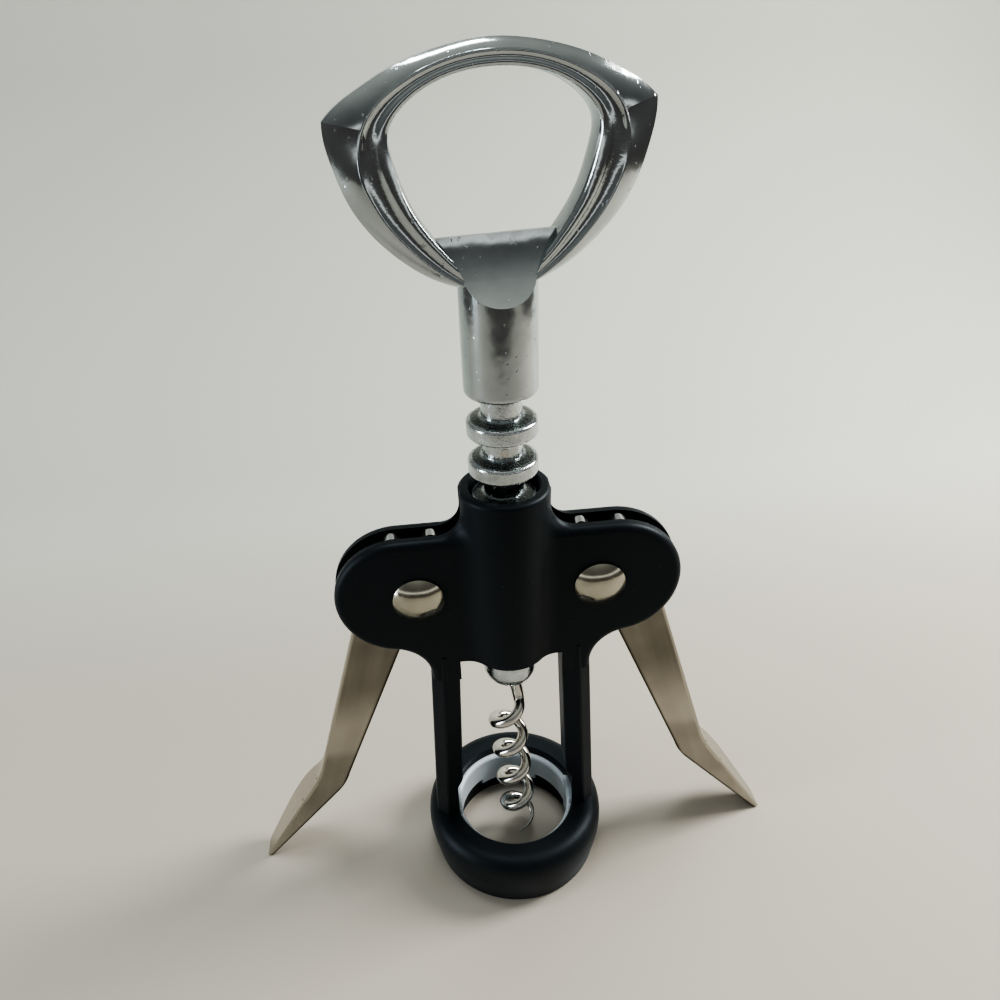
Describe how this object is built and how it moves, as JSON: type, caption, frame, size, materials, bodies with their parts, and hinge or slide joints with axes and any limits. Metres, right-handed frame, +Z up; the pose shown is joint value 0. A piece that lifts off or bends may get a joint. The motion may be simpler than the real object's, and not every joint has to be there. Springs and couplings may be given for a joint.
{
  "type": "wing corkscrew",
  "caption": "Wing corkscrew: black frame with lined bottle collar, ring-rack spindle with worm, looped cap-lifter handle and geared lift levers.",
  "frame": {"origin": "centre of the collar's flat base, on the spindle's axis", "axes": "+Z up the spindle to the handle, +X towards the right lever, front face towards -Y"},
  "size_m": [0.1394, 0.0466, 0.1947],
  "materials": {
    "black_casting": "soft-touch matte black coating on a zinc casting",
    "liner_plastic": "milky translucent moulded plastic",
    "handle_chrome": "bright chrome plate on a casting",
    "spindle_chrome": "chrome plate, a little rough from casting",
    "worm_steel": "polished plated steel wire",
    "lever_steel": "satin plated pressed sheet",
    "rivet_chrome": "polished domed heads",
    "pin_steel": "plain steel peg"
  },
  "bodies": {
    "frame": {"frame_casting": "black_casting", "collar_liner": "liner_plastic", "rivet_left": "rivet_chrome", "rivet_right": "rivet_chrome"},
    "spindle": {"rack_spindle": "spindle_chrome", "retaining_pin": "pin_steel"},
    "turning_group": {"handle_opener": "handle_chrome", "worm": "worm_steel"},
    "left_lever": {"lever_left": "lever_steel"},
    "right_lever": {"lever_right": "lever_steel"}
  },
  "joints": [
    {"name": "spindle_slide", "type": "slide", "parent": "frame", "child": "spindle", "axis": [0, 0, 1], "range_m": [-0.0319, 0]},
    {"name": "handle_turn", "type": "hinge", "parent": "spindle", "child": "turning_group", "pos_m": [0, 0, 0.12], "axis": [0, 0, 1], "continuous": true},
    {"name": "left_lever_swing", "type": "hinge", "parent": "frame", "child": "left_lever", "pos_m": [-0.0202, 0, 0.0885], "axis": [0, 1, 0], "range_deg": [0, 135]},
    {"name": "right_lever_swing", "type": "hinge", "parent": "frame", "child": "right_lever", "pos_m": [0.0202, 0, 0.0885], "axis": [0, -1, 0], "range_deg": [0, 135]}
  ],
  "couplings": [
    {"joint": "left_lever_swing", "follows": "spindle_slide", "rad_per_m": -73.825},
    {"joint": "right_lever_swing", "follows": "spindle_slide", "rad_per_m": -73.825}
  ]
}
